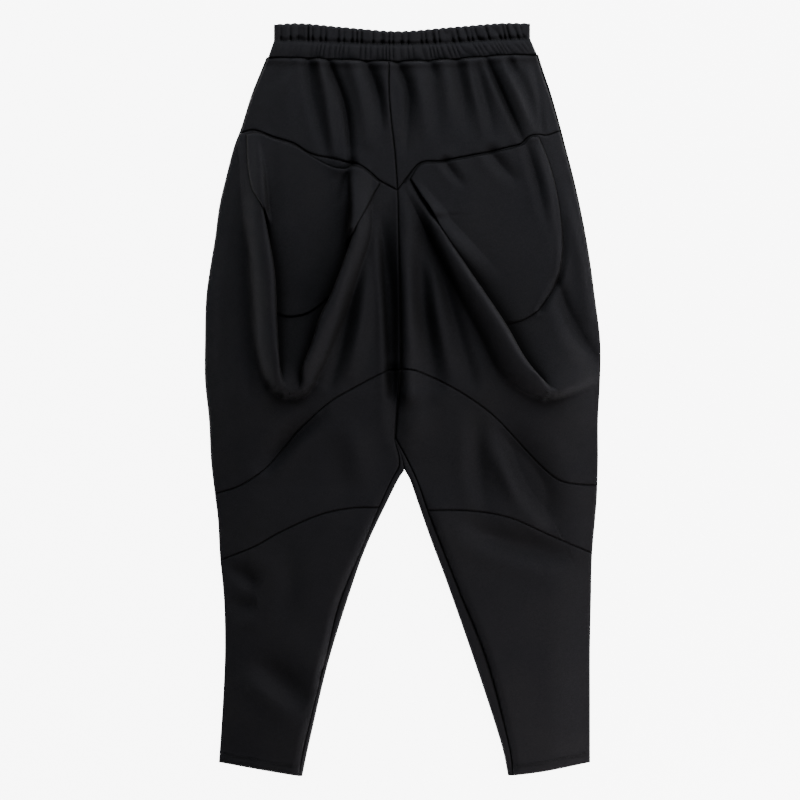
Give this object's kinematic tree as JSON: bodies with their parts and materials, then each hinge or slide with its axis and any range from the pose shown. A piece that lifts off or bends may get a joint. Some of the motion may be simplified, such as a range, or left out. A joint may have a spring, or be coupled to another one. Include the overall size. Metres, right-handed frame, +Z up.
{
  "type": "drop-crotch harem trousers",
  "caption": "Black knit drop-crotch harem trousers laid flat, with gathered elastic waist, yoke, draped patch pockets and narrow ankles.",
  "frame": {"origin": "middle of the garment's box in X and Y, on the surface that its back lies on", "axes": "+Y from the hems towards the waist, +X to the right of the front as it is seen, +Z up from the back to the front"},
  "size_m": [0.5144, 0.9772, 0.0268],
  "materials": {
    "knit": "matte double knit, black",
    "waistband": "matte double knit over gathered elastic, black"
  },
  "bodies": {
    "root": {"waistband": "waistband", "yoke_front_left": "knit", "yoke_front_right": "knit", "drape_panel_left": "knit", "drape_panel_right": "knit", "pocket_left": "knit", "pocket_right": "knit", "thigh_panel_left": "knit", "thigh_panel_right": "knit", "shin_panel_left": "knit", "shin_panel_right": "knit", "back_left": "knit", "back_right": "knit"}
  },
  "joints": []
}
